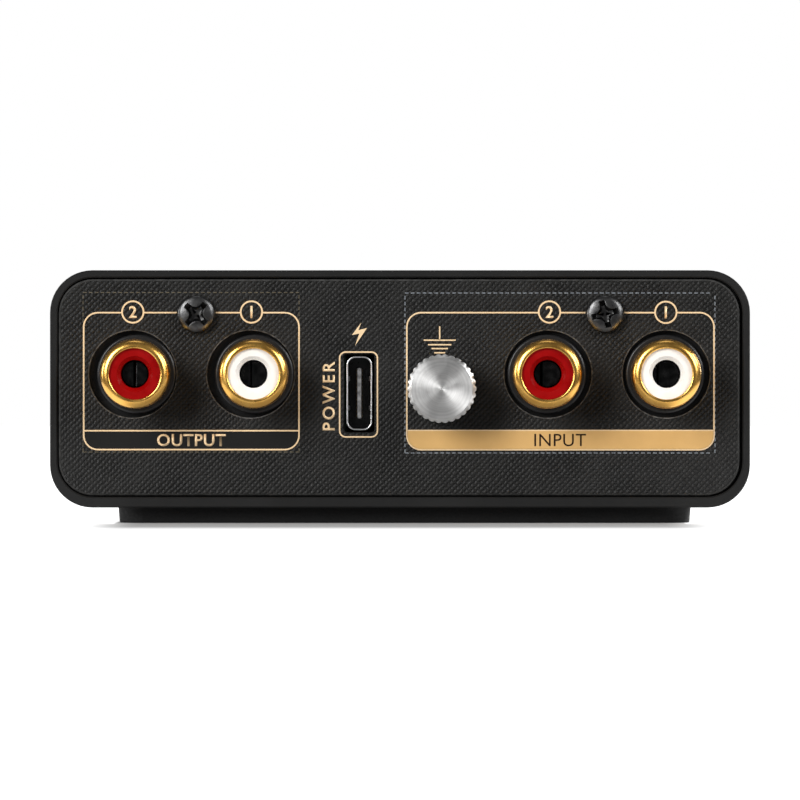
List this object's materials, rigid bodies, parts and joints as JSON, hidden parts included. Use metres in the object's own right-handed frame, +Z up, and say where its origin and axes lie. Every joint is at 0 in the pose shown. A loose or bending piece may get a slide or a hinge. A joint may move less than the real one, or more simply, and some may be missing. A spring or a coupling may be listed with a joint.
{
  "type": "phono preamp",
  "caption": "Small phono preamp: black extruded case with gold phono jacks, a USB power socket and a ground screw behind, and a volume dial in front.",
  "frame": {"origin": "underside of the rubber pad, below the middle of the sleeve", "axes": "+Z up; +Y from the connector panel to the control panel, along the sleeve; +X to the right when the connectors face the viewer"},
  "size_m": [0.0842, 0.1113, 0.0304],
  "materials": {
    "case_metal": "black anodised, fine matt grain",
    "panel_black": "black with a fine embossed diamond texture, satin",
    "pad_rubber": "matt black",
    "moulded_black": "smooth black moulding",
    "red_insert": "glossy red",
    "white_insert": "glossy white",
    "gold_plating": "satin gold plate",
    "screw_black": "black oxide",
    "turned_steel": "turned and knurled, bright",
    "plain_steel": "plain plated steel",
    "plain_brass": "plain brass",
    "socket_steel": "nickel plated",
    "tongue_grey": "dark moulding",
    "board_green": "solder mask",
    "knob_metal": "turned and fluted, satin anodised",
    "pointer_black": "black inlay",
    "nylon_white": "natural nylon",
    "gold_print": "gold screen print",
    "dark_print": "dark screen print",
    "lens_white": "milky lens",
    "chip_black": "moulded epoxy",
    "film_red": "boxed film",
    "can_sleeve": "printed sleeve",
    "resistor_blue": "lacquer"
  },
  "bodies": {
    "case": {"sleeve": "case_metal", "base_pad": "pad_rubber", "rear_panel": "panel_black", "front_panel": "panel_black", "line_out_jack_block": "moulded_black", "phono_in_jack_block": "moulded_black", "line_out_screw": "screw_black", "phono_in_screw": "screw_black", "ground_bush": "plain_brass", "ground_tag": "plain_brass", "ground_nut": "plain_steel", "usb_shell": "socket_steel", "usb_tongue": "tongue_grey", "usb_contacts": "gold_plating", "usb_board": "board_green", "circuit_board": "board_green", "board_standoffs": "plain_brass", "base_screws": "screw_black", "volume_pot_body": "plain_steel", "volume_washer": "plain_steel", "volume_nut": "plain_steel", "power_switch_body": "moulded_black", "power_led": "lens_white", "led_holder": "moulded_black", "op_amp_sockets": "moulded_black", "op_amps": "chip_black", "film_capacitors": "film_red", "electrolytic_capacitors": "can_sleeve", "resistors": "resistor_blue", "power_converter": "chip_black", "power_inductor": "chip_black", "line_out_right_shell": "gold_plating", "line_out_right_insulator": "red_insert", "line_out_right_contact": "gold_plating", "line_out_left_shell": "gold_plating", "line_out_left_insulator": "white_insert", "line_out_left_contact": "gold_plating", "phono_in_right_shell": "gold_plating", "phono_in_right_insulator": "red_insert", "phono_in_right_contact": "gold_plating", "phono_in_left_shell": "gold_plating", "phono_in_left_insulator": "white_insert", "phono_in_left_contact": "gold_plating"},
    "ground_carrier": {"ground_washer": "plain_steel"},
    "ground_thumb": {"ground_screw": "turned_steel"},
    "volume": {"volume_knob": "knob_metal", "volume_shaft": "knob_metal", "knob_pointer": "pointer_black", "knob_grub_screw": "screw_black"},
    "power": {"power_button": "moulded_black", "power_plunger": "nylon_white"}
  },
  "joints": [
    {"name": "volume_turn", "type": "hinge", "parent": "case", "child": "volume", "pos_m": [-0.022, 0.0459, 0.01615], "axis": [0, -1, 0], "range_deg": [-150, 150]},
    {"name": "power_press", "type": "slide", "parent": "case", "child": "power", "axis": [0, -1, 0], "range_m": [0, 0.0018], "stiffness_N_per_m": 300, "springref_m": -0.001},
    {"name": "ground_washer_slide", "type": "slide", "parent": "case", "child": "ground_carrier", "axis": [0, -1, 0], "range_m": [0, 0.00279]},
    {"name": "ground_screw_turn", "type": "hinge", "parent": "ground_carrier", "child": "ground_thumb", "pos_m": [0.005, -0.0455, 0.01618], "axis": [0, -1, 0], "range_deg": [0, 1440]}
  ],
  "couplings": [
    {"joint": "ground_screw_turn", "follows": "ground_washer_slide", "rad_per_m": 8976}
  ]
}
